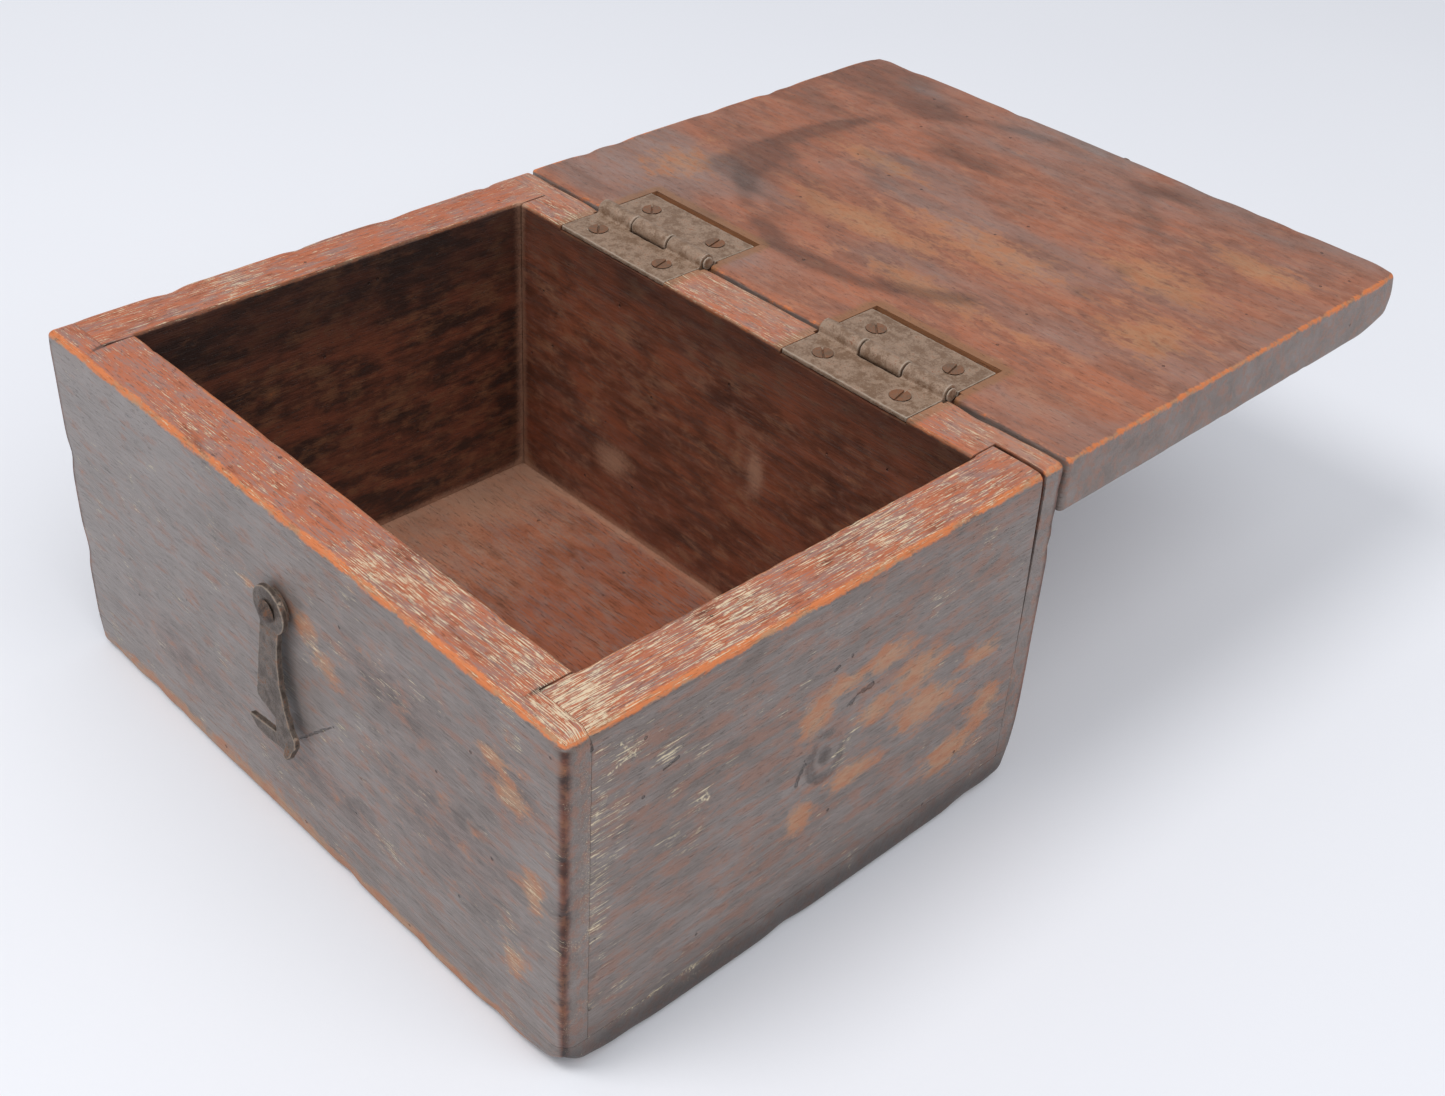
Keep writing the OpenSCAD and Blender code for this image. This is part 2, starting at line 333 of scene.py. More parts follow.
SHOULDER_GAP = 0.35  # crack between a shoulder and the side board
OPEN_SEAM = 1.1  # widest opening of the right board's back seam
SEAM_FROM_Z = 32  # the seam opens from this height up
SEAM_FROM_Y = 20  # the board is drawn back from here on
FINE = 0.3  # grid spacing at a worn arris
MIDDLE = 0.7  # grid spacing at a mortise
COARSE = 1.35  # widest grid spacing
BOTTOM_COARSE = 1.9  # the same for the bottom board, which is seen least
BELOW_SEAM = 9.0  # keeps the seam's softening off the bottom board's underside


def board_planes(low, high, breaks=((), (), ()), coarse=COARSE):
    """Grid planes of a board along x, y and z, with its own extra breaks."""
    return [planes([(low[a], FINE), (high[a], FINE), *breaks[a]], coarse) for a in range(3)]


def everywhere(x, y, z):
    """Solid test of a board without cuts."""
    return np.ones(x.shape, bool)


def mortise_breaks(leaves, far_y):
    """Breaks along x, y and z at the edges of the hinge mortises."""
    xs = []
    for low, high in leaves.values():
        for spare in (MORTISE_CLEAR, KNUCKLE_SPARE):
            xs += [(low[0] - spare, MIDDLE), (high[0] + spare, MIDDLE)]
    zs = [(TOP - LEAF_T, MIDDLE), (PIN[2] - KNUCKLE_ROOM, MIDDLE)]
    return xs, [(y, MIDDLE) for y in far_y], zs


def mortises(x, y, z, leaves, low_y, high_y):
    """The room for the hinge leaves and for their knuckles."""
    room = np.zeros(x.shape, bool)
    for low, high in leaves.values():
        beside = (x > low[0] - MORTISE_CLEAR) & (x < high[0] + MORTISE_CLEAR)
        room |= beside & (y > low_y) & (y < high_y) & (z > TOP - LEAF_T)
        past = (x > low[0] - KNUCKLE_SPARE) & (x < high[0] + KNUCKLE_SPARE)
        room |= past & (np.abs(y - PIN[1]) < KNUCKLE_ROOM) & (z > PIN[2] - KNUCKLE_ROOM)
    return room


def end_board(front):
    """Front or back board: full width outside, rabbeted behind both ends."""
    s = -1 if front else 1
    low, high = corners("front_board" if front else "back_board")
    high[2] = TOP
    xs = [(x, FINE) for x in (-INNER_X, INNER_X)]
    ys = [(s * LAP_Y, FINE)]
    zs = []
    if not front:
        more_xs, more_ys, zs = mortise_breaks(BODY_LEAVES, [PIN[1] - KNUCKLE_ROOM])
        xs += more_xs
        ys += more_ys

    def solid(x, y, z):
        wood = (np.abs(x) < INNER_X) | (s * y > LAP_Y)
        return wood if front else wood & ~mortises(x, y, z, BODY_LEAVES, INNER_Y - 1, HALF_Y + 1)

    start, faces = block_skin(*board_planes(low, high, (xs, ys, zs)), solid)
    tongue = np.abs(start[:, 0]) > INNER_X + 0.01
    tongue_low = [-HALF_X, min(s * HALF_Y, s * LAP_Y), low[2]]
    tongue_high = [HALF_X, max(s * HALF_Y, s * LAP_Y), TOP]
    web_low = [-INNER_X, min(s * LAP_Y, s * INNER_Y), low[2]]
    web_high = [INNER_X, max(s * LAP_Y, s * INNER_Y), TOP]
    web = (s * start[:, 1] < LAP_Y - 0.01) & (start[:, 2] > TOP - 3)
    points = start.copy()
    points[tongue] = rounded(start[tongue], tongue_low, tongue_high, SEAM_R)
    ends = web & (np.abs(start[:, 0]) > INNER_X - 2)
    points[ends] = rounded(start[ends], web_low, web_high, SEAM_R * 1.5)
    shrunk = SHOULDER_GAP * smooth(1 - (INNER_X - np.abs(start[:, 0])) / 8) * ~tongue
    points[:, 0] -= np.sign(start[:, 0]) * shrunk
    return start, worn_body(points, start), faces


def side_board(s):
    """Side board between the tongues of the front and back boards."""
    low, high = corners("right_side_board" if s > 0 else "left_side_board")
    start, faces = block_skin(*board_planes(low, high), everywhere)
    points = rounded(start, low, high, SEAM_R)
    if s > 0:
        # Shrinkage has opened the upper half of this board's back seam
        high_up = smooth((start[:, 2] - SEAM_FROM_Z) / (TOP - SEAM_FROM_Z))
        far_back = smooth((start[:, 1] - SEAM_FROM_Y) / (LAP_Y - SEAM_FROM_Y))
        points[:, 1] -= OPEN_SEAM * high_up * far_back
    return start, worn_body(points, start), faces


def bottom_board():
    """Bottom board under all four walls."""
    high = corners("bottom_board")[1]
    start, faces = block_skin(*board_planes(BODY_LOW, high, coarse=BOTTOM_COARSE), everywhere)
    points = rounded(start, BODY_LOW - [0, 0, BELOW_SEAM], high, SEAM_R)
    return start, worn_body(points, start), faces


def lid_chips():
    """Chips of the lid's arrises and of its two far corners."""
    rng = np.random.default_rng(23)
    chips = []
    low, high = LID_LOW, LID_HIGH
    broad = {"size": (1.6, 4.0), "depth": (0.08, 0.3)}
    for s, x in ((-1, low[0]), (1, high[0])):
        chips += random_chips(rng, 10, (x, low[1], TOP), (x, high[1], TOP), (-s, 0, -1), **broad)
        chips += random_chips(rng, 6, (x, low[1], low[2]), (x, high[1], low[2]), (-s, 0, 1),
                              depth=(0.05, 0.2))
    chips += random_chips(rng, 9, (low[0], high[1], TOP), (high[0], high[1], TOP), (0, -1, -1),
                          **broad)
    chips += random_chips(rng, 10, (low[0], low[1], TOP), (high[0], low[1], TOP), (0, 1, -1),
                          size=(0.8, 2.2), depth=(0.05, 0.3))
    chips.append((np.array([high[0], high[1], TOP]), 4.5, 1.2, (-1, -1, -0.3)))
    chips.append((np.array([low[0], high[1], TOP]), 4, 1.0, (1, -1, -0.4)))
    return chips


def lid_board():
    """Lid, lying open: its inner face looks up and its front edge is the far one."""
    low, high = LID_LOW, LID_HIGH.copy()
    high[2] = TOP
    far_leaf = LID_LEAVES["left"][1][1] + MORTISE_SPARE
    xs, ys, zs = mortise_breaks(LID_LEAVES, [PIN[1] + KNUCKLE_ROOM, far_leaf])
    start, faces = block_skin(
        *board_planes(low, high, (xs, ys, zs)),
        lambda x, y, z: ~mortises(x, y, z, LID_LEAVES, low[1] - 1, far_leaf))
    deep = smooth(1 - (start[:, 2] - low[2]) / (high[2] - low[2]))
    front = smooth(1 - (high[1] - start[:, 1]) / 14)
    radius = 0.5 + 0.5 * noise(start, 13, 51, 2)
    radius += deep * (0.7 + 3.4 * front) + 0.6 * front * noise(start, 13, 52, 2)
    points = rounded(start, low, high, radius)
    points = sagged(points, start, low, high, (0.25, 0.25, 0.3), 60)
    return start, chipped(points, start, lid_chips()), faces


# ---------------------------------------------------------------- wear of the surface

def along_grain(start, axis, board):
    """Point places in mm with the grain along the first axis; each board has its own timber."""
    order = [1, 0, 2] if axis == "y" else [0, 1, 2]
    return start[:, order] + np.array([137.0, 53.0, 91.0]) * board


# Worn patches of the right side: y, z and half sizes
RIGHT_PATCHES = [(-4, 52, 6, 6), (3, 56, 9, 3), (15, 56, 9, 4), (24, 48, 10, 6), (28, 38, 13, 6),
                 (13, 45, 7, 4), (-6, 29, 5, 5), (8, 32, 9, 4), (38, 20, 11, 6), (47, 27, 6, 7),
                 (44, 42, 7, 3)]
# Worn patches of the front: x, z and half sizes
FRONT_PATCHES = [(8, 58, 5, 4), (14, 52, 5, 4), (-11, 57, 5, 2), (-50, 3, 26, 4), (-10, 3, 34, 4),
                 (40, 2, 30, 3), (62, 65, 5, 2), (67, 59, 5, 3), (72, 42, 4, 6), (67, 21, 4, 5)]
# Faint worn haze of the front, showing the red timber through the film
FRONT_THIN = [(48, 38, 26, 18), (34, 60, 22, 9), (-42, 20, 22, 9), (12, 22, 30, 9), (66, 60, 12, 12)]
# Patches of the rim and mouth where pale dirt fills the grain: x, y and half sizes
RIM_CREAM = [(38, -55, 10, 6), (24, -57, 9, 4), (56, -53, 12, 5), (73, -50, 8, 10),
             (74, -22, 7, 26), (74, 24, 7, 20), (-30, -56, 14, 3)]
# Clusters of pale flecks on the right side: y, z and half sizes
RIGHT_FLECKS = [(-48, 71, 5, 4), (-38, 66, 4, 3), (-31, 50, 4, 3), (-32, 61, 3, 2), (28, 63, 5, 3),
                (-54, 50, 4, 26), (-50, 58, 4, 6)]
# Clusters of pale flecks on the front: x, z and half sizes
FRONT_FLECKS = [(62, 65, 4, 2), (67, 58, 4, 3), (72, 42, 3, 5), (67, 21, 3, 5), (17, 40, 2, 2),
                (10, 55, 5, 5), (-12, 57, 5, 2), (30, 20, 5, 4)]


def body_fields(start, grain):
    """Where the boards of the box are filmed, worn, filled, stained and dusty, and where sheen, light
    and shade are painted on them.
    """
    x, y, z = start.T
    gap_x = HALF_X - np.abs(x)
    gap_y = HALF_Y - np.abs(y)
    outer = np.minimum(gap_x, gap_y)
    over = np.maximum(np.abs(x) - INNER_X, np.abs(y) - INNER_Y)
    top = TOP - z
    blotch = noise(start, 17, 71)
    ragged = noise(start, 7, 72)
    wall = over > -0.01
    rim = near(top, 0.8) * wall
    outside = near(np.minimum(outer, z), 1.0) * (1 - rim)
    right = near(HALF_X - x, 1.0)
    side = np.maximum(right, near(HALF_X + x, 1.0))
    front = near(HALF_Y + y, 1.0)
    back = near(HALF_Y - y, 1.0)
    inner_wall = near(over, 1.2) * wall * (z > FLOOR_TOP)
    inner_floor = near(z - FLOOR_TOP, 0.5) * (over < 0)
    edge = near(top + outer, 2.0) * (0.6 + 1.0 * ragged)
    edge += near(top + over, 1.3) * wall * (0.5 + 0.7 * ragged)
    upright = near(gap_x + gap_y, 2.6) * (top > 2)
    # The grey film of the outer faces: partly smoky patina, partly painted sheen of the pale floor
    film = outside * (1 - 0.75 * upright) * (1 - 0.3 * front * blots(x, z, FRONT_THIN))
    wear = 0.7 * near(z + outer, 6) * blotch * (front + 0.3)
    wear += right * blots(y, z, RIGHT_PATCHES) + front * 0.8 * blots(x, z, FRONT_PATCHES)
    wear += 0.3 * front * blots(x, z, FRONT_THIN)
    hidden = np.maximum(near(HALF_X + x, 1.0), back)
    wear += 0.5 * hidden * smooth((noise(start, 15, 74) - 0.5) / 0.2)
    cream = rim * (0.97 + 0.3 * blots(x, y, RIM_CREAM) + 0.8 * (blotch - 0.5))
    cream += outside * (0.5 + 0.4 * smooth((noise(start, 6, 76) - 0.6) / 0.15))
    cream += right * (0.6 * blots(y, z, RIGHT_FLECKS)
                      + 0.6 * near(z - FLOOR_TOP, 1.5) * near(y + 35, 30))
    cream += 0.6 * front * blots(x, z, FRONT_FLECKS)
    grime = body_grime_and_shade(start, rim, inner_wall, side, upright, blotch, ragged)
    dust = body_dust(x, y, z, over, rim, inner_floor, blotch)
    # Painted sheen: the front is painted paler towards its left end, where it reflects the pale floor,
    # and the sheen varies at random
    sheen = front * (0.5 * near(x + HALF_X, 110) + 0.25) + 0.5 * (noise(start, 30, 79) - 0.5)
    rust = leaf_stain(x, y, BODY_LEAVES) * np.maximum(rim, 0.6 * near(top, 4) * wall)
    # Lighter: the sawn timber of the rim, and painted light on the inner floor and the inner back wall,
    # where the key lamp falls
    bright = rim + 0.62 * inner_floor + 0.22 * inner_wall * near(y - INNER_Y, 1.0)
    return {"grain": grain, "film": film, "wear": wear, "edge": edge, "cream": cream,
            "grime": grime, "dust": dust, "rust": rust, "bright": bright, "sheen": sheen}


def body_grime_and_shade(start, rim, inner_wall, side, upright, blotch, ragged):
    """Darkening of the box: soot in its mouth, darker low on its sides and along its foot, beside the
    arrises, along the joints and the back edge of the rim, and painted shade on the inner left wall.
    """
    x, y, z = start.T
    top = TOP - z
    outer = np.minimum(HALF_X - np.abs(x), HALF_Y - np.abs(y))
    # Painted shade: the inner left wall, which faces away from the key lamp, is painted darker
    left_wall = inner_wall * near(x + INNER_X, 1.2)
    grime = 0.45 * inner_wall * near(top, 24) + 0.12 * inner_wall + 0.3 * left_wall
    # The sides are darker all over and much darker towards their bottom, and the foot is darker
    grime += (0.12 * side + 0.5 * side * near(z, 22) + 0.45 * side * near(z, 9)
              + 0.7 * near(z + outer, 1.6))
    grime += 0.5 * upright * (1 - blotch) + 0.55 * rim * near(PIN[1] - y, 3.5)
    grime += 0.9 * near(top + outer, 3.0) * near(top - 1.8, 1.2) * ragged
    grime += 0.2 * rim * smooth((noise(start, 9, 78) - 0.55) / 0.15)
    grime += rim * near(np.abs(x) - INNER_X, 0.7) * near(np.abs(y) - LAP_Y, 6) * (y < 0)
    return grime


# Dusty spots low on the inner back wall: x, z and half sizes
WALL_DUST = [(12, 46, 3, 7), (-34, 26, 7, 5)]


def body_dust(x, y, z, over, rim, inner_floor, blotch):
    """Pale dust of the box: in its inner corners, over its floor and on the back rim."""
    dust = 0.7 * near(z - FLOOR_TOP, 3.0) * near(over, 2.5) * (z > FLOOR_TOP - 0.1)
    dust += 0.7 * near(x + INNER_X, 3.0) * near(y - INNER_Y, 3.0) * (z > FLOOR_TOP)
    dust += 0.9 * near(y - INNER_Y, 1.5) * blots(x, z, WALL_DUST)
    dust += inner_floor * (0.5 * near(x + INNER_X, 90) + 0.7 * near(x + INNER_X, 24) * blotch)
    dust += 0.5 * rim * near(HALF_Y - y, 22)
    return dust


def leaf_stain(x, y, leaves):
    """Rust that has crept into the wood round the hinge leaves."""
    stain = np.zeros(len(x))
    for low, high in leaves.values():
        aside = np.maximum(np.maximum(low[0] - x, x - high[0]), 0)
        beyond = np.maximum(np.maximum(low[1] - y, y - high[1]), 0)
        stain = np.maximum(stain, smooth(1 - np.hypot(aside, beyond) / 5))
    return stain


RING = (-7.5, 129.0, 48.0)  # middle and radius of the ring that a pot left on the lid
# Dark, orange and dusty spots of the lid's inner face: x, y and half sizes
LID_BLOTS = [(-45, 166, 9, 5), (23, 174, 8, 5), (30, 159, 6, 6), (-53, 132, 6, 9),
             (-52, 111, 6, 9), (-5, 81, 26, 4), (-20, 150, 14, 4)]
LID_ORANGE = [(16, 118, 30, 9), (48, 134, 22, 9), (-10, 104, 28, 6), (58, 158, 16, 6),
              (-62, 92, 12, 14), (-30, 132, 18, 5), (20, 92, 28, 5), (62, 112, 14, 12)]
LID_DUST = [(-40, 66, 30, 4), (62, 72, 12, 6)]


def lid_fields(start, grain):
    """Where the lid is filmed, worn, filled, stained and dusty, and where sheen is painted on it."""
    x, y, z = start.T
    low, high = LID_LOW, LID_HIGH
    gap_x = np.minimum(x - low[0], high[0] - x)
    gap_y = np.minimum(y - low[1], high[1] - y)
    top = TOP - z
    inner = near(top, 0.8)
    sides = np.minimum(np.minimum(gap_x, gap_y), z - low[2])
    outside = near(sides, 1.0) * (1 - inner)
    warp = 6 * (noise(start, 22, 83) - 0.5)
    ring = np.hypot(x - RING[0], y - RING[1]) + warp
    broken = 0.3 + 0.7 * smooth((noise(start, 20, 84) - 0.3) / 0.3)
    cloud = smooth((noise(start, (36, 13, 13), 88, 4) - 0.35) / 0.3)
    shade = smooth((noise(start, (26, 11, 11), 89, 4) - 0.5) / 0.18)
    # On the lid: a broken ring, blots and random clouds, darker towards the left end and low on its
    # edges
    grime = inner * (0.5 * near(ring - RING[2], 5) * broken + 0.38 * blots(x, y, LID_BLOTS))
    grime += inner * (0.3 * shade + 0.24 * smooth((-10 - x) / 50))
    grime += 0.25 * outside * near(z - low[2], 4)
    ragged = noise(start, 7, 85)
    edge = near(top + gap_x, 1.7) * (0.5 + 0.8 * ragged) + near(top + gap_y, 1.5) * 0.7 * ragged
    wear = inner * (0.75 * blots(x, y, LID_ORANGE) + 0.25 * (1 - cloud))
    wear += 0.4 * outside * smooth((noise(start, 16, 87) - 0.52) / 0.2)
    cream = 0.5 * inner * smooth((noise(start, 10, 86) - 0.5) / 0.2) + 0.15 * outside
    dust = 0.35 * inner * blots(x, y, LID_DUST)
    rust = leaf_stain(x, y - MORTISE_SPARE, LID_LEAVES) * near(top, 4)
    # The lid's film: on its outside, patina and painted sheen as on the box; on its inner face, painted
    # sheen in clouds, more towards the left end and the far edge
    film = outside + inner * (0.16 + 0.36 * cloud + 0.12 * smooth((40 - x) / 60)
                              + 0.14 * near(high[1] - y, 50))
    # The lid's painted sheen lies in clouds over its inner face
    return {"grain": grain, "film": film, "wear": wear, "edge": edge, "cream": cream,
            "grime": grime, "dust": dust, "rust": rust, "bright": 0.3 * inner,
            "sheen": 0.15 * cloud * inner}


# ---------------------------------------------------------------- materials

def colour(red, green, blue):
    """Linear colour of an sRGB one in 0..255."""
    parts = [c / 255 for c in (red, green, blue)]
    linear = [c / 12.92 if c <= 0.04045 else ((c + 0.055) / 1.055) ** 2.4 for c in parts]
    return (*linear, 1.0)


class Nodes:
    """Short names for the shader nodes that the materials below are made of."""

    def __init__(self, name):
        self.material = bpy.data.materials.new(name)
        self.material.use_nodes = True
        self.tree = self.material.node_tree
        self.shader = self.tree.nodes["Principled BSDF"]

    def put(self, socket, value):
        """Link a socket into another, or set the other to a plain value."""
        if isinstance(value, bpy.types.NodeSocket):
            self.tree.links.new(value, socket)
        else:
            socket.default_value = value

    def node(self, kind, **settings):
        made = self.tree.nodes.new(kind)
        for key, value in settings.items():
            setattr(made, key, value)
        return made

    def field(self, name):
        """A value that the mesh carries at its points."""
        return self.node("ShaderNodeAttribute", attribute_name=name).outputs["Fac"]

    def grain(self):
        """The place along and across the timber, which the mesh carries at its points."""
        return self.node("ShaderNodeAttribute", attribute_name="grain").outputs["Vector"]

    def place(self):
        """Place on the object, in mm."""
        return self.stretch(self.node("ShaderNodeTexCoord").outputs["Object"], MM, MM, MM)

    def stretch(self, vector, x, y, z):
        made = self.node("ShaderNodeVectorMath", operation="MULTIPLY")
        self.put(made.inputs[0], vector)
        made.inputs[1].default_value = (x, y, z)
        return made.outputs[0]

    def distance(self, vector, point):
        made = self.node("ShaderNodeVectorMath", operation="DISTANCE")
        self.put(made.inputs[0], vector)
        made.inputs[1].default_value = point
        return made.outputs["Value"]

    def marks(self, vector, ends):
        """1 along straight marks, each given by its two ends and its half width."""
        wobble = self.noise(self.stretch(vector, 0.9, 0.9, 0.9), 3, 0.6)
        total = 0.0
        for start, end, width in ends:
            start, way = Vector(start), Vector(end) - Vector(start)
            from_start = self.node("ShaderNodeVectorMath", operation="SUBTRACT")
            self.put(from_start.inputs[0], vector)
            from_start.inputs[1].default_value = start
            share = self.node("ShaderNodeVectorMath", operation="DOT_PRODUCT")
            self.put(share.inputs[0], from_start.outputs[0])
            share.inputs[1].default_value = way / way.length_squared
            share = self.clamped(share.outputs["Value"])
            foot = self.node("ShaderNodeVectorMath", operation="SCALE")
            foot.inputs[0].default_value = way
            self.put(foot.inputs["Scale"], share)
            away = self.node("ShaderNodeVectorMath", operation="DISTANCE")
            self.put(away.inputs[0], from_start.outputs[0])
            self.put(away.inputs[1], foot.outputs[0])
            away = self.add(away.outputs["Value"], (wobble, width * 3), -width * 1.5)
            total = self.math("MAXIMUM", total, self.rise(away, width * 1.3, width * 0.5))
        return total

    def clamped(self, value):
        """The value, kept between 0 and 1."""
        made = self.node("ShaderNodeClamp")
        self.put(made.inputs["Value"], value)
        return made.outputs[0]

    def noise(self, vector, detail=4.0, roughness=0.55, distortion=0.0):
        made = self.node("ShaderNodeTexNoise")
        self.put(made.inputs["Vector"], vector)
        made.inputs["Scale"].default_value = 1.0
        made.inputs["Detail"].default_value = detail
        made.inputs["Roughness"].default_value = roughness
        made.inputs["Distortion"].default_value = distortion
        return made.outputs["Fac"]

    def scattered(self, vector, scale):
        """Distance from the nearest of many scattered points, 1 being about one cell."""
        made = self.node("ShaderNodeTexVoronoi")
        self.put(made.inputs["Vector"], vector)
        made.inputs["Scale"].default_value = scale
        return made.outputs["Distance"]

    def math(self, operation, a, b):
        made = self.node("ShaderNodeMath", operation=operation)
        self.put(made.inputs[0], a)
        self.put(made.inputs[1], b)
        return made.outputs[0]

    def add(self, *terms):
        """Sum of values, each either a socket, a number or a (socket, factor) pair."""
        total = None
        for term in terms:
            if isinstance(term, tuple):
                term = self.math("MULTIPLY", *term)
            total = term if total is None else self.math("ADD", total, term)
        return total

    def rise(self, value, low, high, top=1.0):
        """0 below low, top above high, smooth between."""
        made = self.node("ShaderNodeMapRange", interpolation_type="SMOOTHSTEP")
        self.put(made.inputs["Value"], value)
        made.inputs["From Min"].default_value = low
        made.inputs["From Max"].default_value = high
        made.inputs["To Max"].default_value = top
        return made.outputs["Result"]

    def mix(self, amount, a, b):
        """Colour a turning into colour b."""
        made = self.node("ShaderNodeMix", data_type="RGBA")
        self.put(made.inputs["Factor"], amount)
        self.put(made.inputs[6], a)
        self.put(made.inputs[7], b)
        return made.outputs[2]

    def blend(self, amount, a, b):
        """Number a turning into number b."""
        made = self.node("ShaderNodeMix", data_type="FLOAT")
        self.put(made.inputs["Factor"], amount)
        self.put(made.inputs[2], a)
        self.put(made.inputs[3], b)
        return made.outputs[0]

    def finish(self, base, rough, height, depth, **constants):
        """Colour, roughness and relief, depth mm high, and plain numbers for the shader."""
        self.put(self.shader.inputs["Base Color"], base)
        self.put(self.shader.inputs["Roughness"], rough)
        bump = self.node("ShaderNodeBump")
        bump.inputs["Strength"].default_value = 1.0
        bump.inputs["Distance"].default_value = depth / MM
        self.put(bump.inputs["Height"], height)
        self.put(self.shader.inputs["Normal"], bump.outputs[0])
        for key, value in constants.items():
            self.shader.inputs[key.replace("_", " ")].default_value = value
        return self.material


KNOT_SQUEEZE = (1.0, 1.2, 0.9)  # makes the knot's rings ovals
KNOT = (HALF_X, 0.0, 36.9)  # the knot of the right side board, in the squeezed space
RIGHT = HALF_X
FRONT = -HALF_Y
# Dark slots and lines, and pale scores, in the faces: two ends and the half width of each
DARK_MARKS = [((RIGHT, 5, 50.4), (RIGHT, 11, 52), 0.5), ((RIGHT, -7, 38.4), (RIGHT, -5.5, 42), 0.5),
              ((RIGHT, 0, 61), (RIGHT, 1, 61.4), 0.3), ((RIGHT, -40, 62), (RIGHT, -37, 62.8), 0.3),
              # A dark line on the front, below the latch
              ((2, FRONT, 27), (14, FRONT, 38), 0.25), ((RIGHT, -LAP_Y, 75), (RIGHT, -LAP_Y, 79), 0.3)]
PALE_MARKS = [((RIGHT, -49.5, 73), (RIGHT, -46, 68.5), 0.3), ((RIGHT, -52, 68), (RIGHT, -46, 70), 0.3),
              ((RIGHT, -32, 50), (RIGHT, -29, 48.6), 0.35), ((RIGHT, -30, 51), (RIGHT, -29, 48.6), 0.3)]

# Colours of the timber and of what lies on it
DEEP = colour(54, 31, 23)
RED = colour(122, 66, 44)
TAN = colour(152, 106, 72)
SMOKE = colour(100, 85, 76)
# Pale grey end of the film, partly painted sheen
PALE_FILM_AND_SHEEN = colour(144, 137, 134)
RUSSET = colour(142, 96, 74)
RIM = colour(190, 108, 72)
RIM_DARK = colour(148, 120, 113)
ORANGE = colour(214, 120, 60)
AMBER = colour(184, 136, 98)
COPPER = colour(176, 112, 71)
CREAM = colour(226, 210, 178)
# Near black of soot, dark pores and marks, and of painted shade
SOOT_AND_SHADE = colour(30, 22, 20)
RUST_STAIN = colour(140, 98, 64)
DUST = colour(186, 144, 118)

# Colours of the iron and of the studio paper
IRON_RUST = colour(128, 78, 46)
# Pale rubbed iron, also the colour of painted highlights
RUBBED_IRON_AND_GLINT = colour(196, 184, 168)
PAPER = colour(232, 234, 240)
PAPER_LIGHT = colour(238, 240, 245)


class Timber:
    """The noises that the layers of the wood share, from fine hairs to wide clouds."""

    def __init__(self, n):
        grain = n.grain()
        self.here = n.place()
        self.streak = n.noise(n.stretch(grain, 0.06, 0.6, 0.6), 4, 0.5, 0.3)
        self.fibre = n.noise(n.stretch(grain, 0.16, 2.8, 2.8), 3, 0.6)
        self.hair = n.noise(n.stretch(grain, 0.05, 4.6, 4.6), 2, 0.55)
        self.line = n.noise(n.stretch(grain, 0.24, 4.4, 4.4), 3, 0.6)
        self.cloud = n.noise(n.stretch(grain, 0.055, 0.14, 0.14), 5, 0.58, 0.5)
        self.patch = n.noise(n.stretch(grain, 0.17, 0.36, 0.36), 6, 0.66, 0.3)
        self.pore = n.rise(n.noise(n.stretch(grain, 0.4, 4.2, 4.2), 2, 0.5), 0.62, 0.72)
        self.mottle = n.noise(n.stretch(self.here, 0.1, 0.1, 0.1), 6, 0.62)
        self.speck = n.noise(n.stretch(self.here, 1.6, 1.6, 1.6), 3, 0.6)


def bare_timber(n, t, deep, red, tan):
    """Clouded and streaked timber with dark pores, brighter and greyer on the sawn rim, and painted
    light in the same colours on the inner floor and back wall.
    """
    base = n.mix(n.rise(n.add((t.cloud, 0.45), (t.streak, 0.25), (t.patch, 0.3)), 0.4, 0.6),
                 deep, red)
    base = n.mix(n.rise(n.add((t.patch, 0.5), (t.fibre, 0.2), (t.mottle, 0.3)), 0.48, 0.64, 0.7),
                 base, tan)
    base = n.mix(n.rise(n.add((t.fibre, 0.5), (t.hair, 0.5)), 0.5, 0.64, 0.3), base, deep)
    light = n.rise(n.add((t.fibre, 0.25), (t.patch, 0.35), (t.cloud, 0.4)), 0.26, 0.5, 0.88)
    sawn = n.mix(n.rise(n.add((t.patch, 0.55), (t.hair, 0.45)), 0.45, 0.58, 0.85), RIM, RIM_DARK)
    base = n.mix(n.math("MULTIPLY", n.field("bright"), light), base, sawn)
    return n.mix(n.math("MULTIPLY", t.pore, 0.3), base, SOOT_AND_SHADE)


def film_and_sheen_cover(n, t):
    """How thickly the smoky film, partly painted sheen, lies; it is thin along some streaks."""
    cover = n.add(n.field("film"), (t.patch, 0.35), (t.cloud, 0.35), (t.streak, 0.2), -0.56)
    return n.rise(cover, 0.1, 0.85, 0.93)


def film_and_sheen_colour(n, t):
    """Smoke to pale haze, with russet where the timber shows through; the pale haze is partly painted
    sheen.
    """
    # Painted sheen turns the film paler and less russet
    tone = n.add((t.cloud, 0.4), (t.mottle, 0.3), (t.patch, 0.3), (t.hair, 0.34),
                 (t.fibre, 0.27), (n.field("sheen"), 0.3))
    film = n.mix(n.rise(tone, 0.5, 1.15), SMOKE, PALE_FILM_AND_SHEEN)
    warm = n.add((t.streak, 0.4), (t.patch, 0.6), (n.field("sheen"), -0.08))
    return n.mix(n.rise(warm, 0.46, 0.6, 0.6), film, RUSSET)


def bare_places(n, t):
    """Where the surface is worn back to the timber."""
    thin = n.add(n.field("wear"), (t.patch, 1.9), (t.mottle, 0.6), (t.speck, 0.3),
                 (t.fibre, 0.3), -1.6)
    return n.rise(thin, 0.3, 0.85, 0.75)


